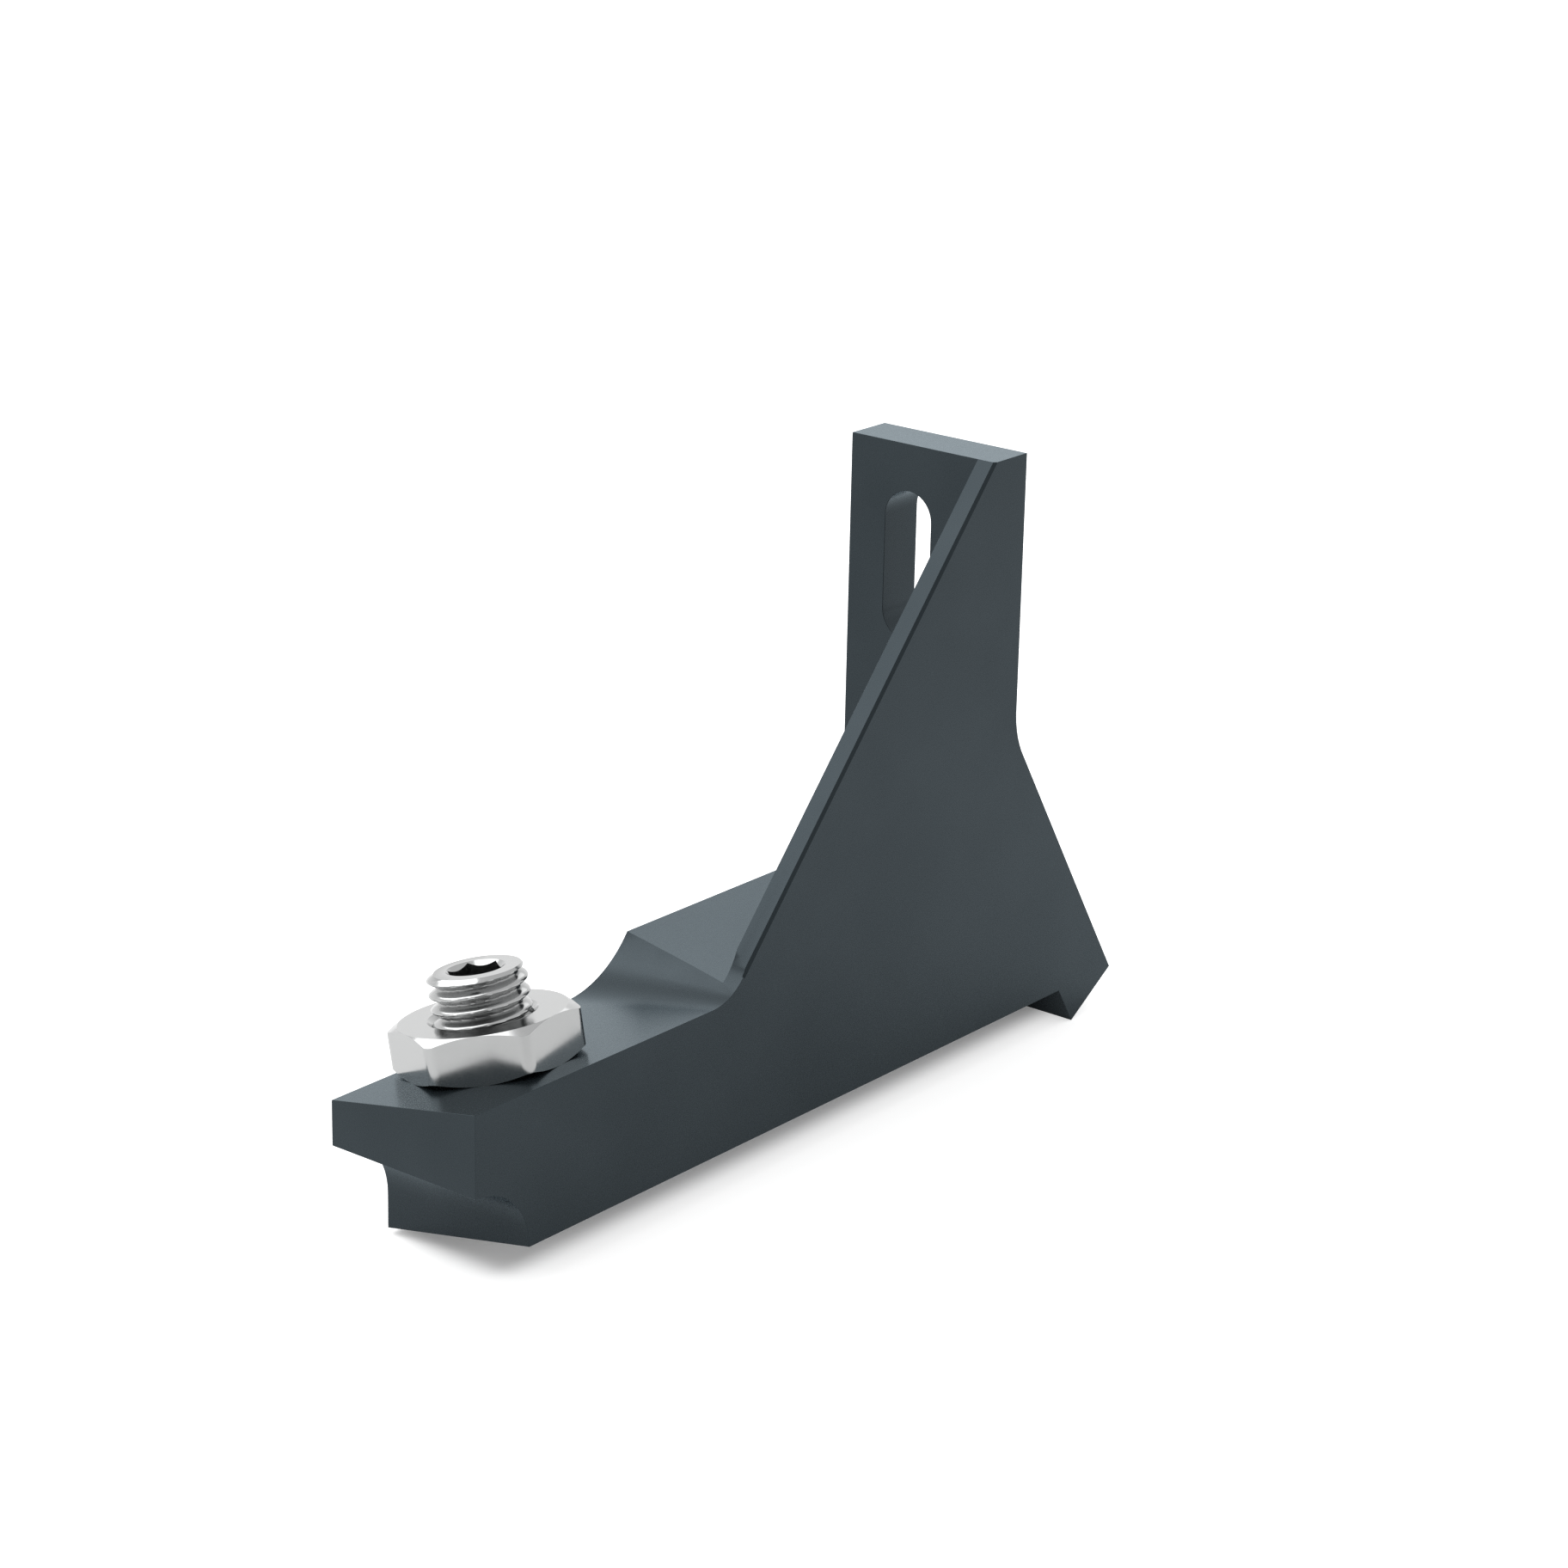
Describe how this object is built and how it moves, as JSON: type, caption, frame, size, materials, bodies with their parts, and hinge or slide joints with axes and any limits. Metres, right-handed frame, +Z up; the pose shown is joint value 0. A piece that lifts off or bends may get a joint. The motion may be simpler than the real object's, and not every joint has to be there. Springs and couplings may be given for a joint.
{
  "type": "master cylinder brace",
  "caption": "Machined bracket with a slotted tab, side web and leg, whose arm carries a set screw and jam nut that steady a brake master cylinder.",
  "frame": {"origin": "middle of the bolt slot, on the tab's mounting face", "axes": "+X out of the tab's mounting face, away from the arm; +Y from the webbed face towards the open side; +Z up the tab, as the part stands"},
  "size_m": [0.1061, 0.0211, 0.0688],
  "materials": {
    "anodised_aluminium": "satin",
    "stainless_steel": "polished"
  },
  "bodies": {
    "bracket": {"brace_body": "anodised_aluminium"},
    "adjuster": {"set_screw": "stainless_steel"},
    "locknut": {"jam_nut": "stainless_steel"}
  },
  "joints": [
    {"name": "screw_advance", "type": "slide", "parent": "bracket", "child": "adjuster", "axis": [0, 0.1994, 0.9799], "range_m": [-0.0047, 0.005]},
    {"name": "nut_turn", "type": "hinge", "parent": "bracket", "child": "locknut", "pos_m": [-0.0712, 0.00017, -0.03691], "axis": [0, 0.1994, 0.9799], "continuous": true}
  ]
}
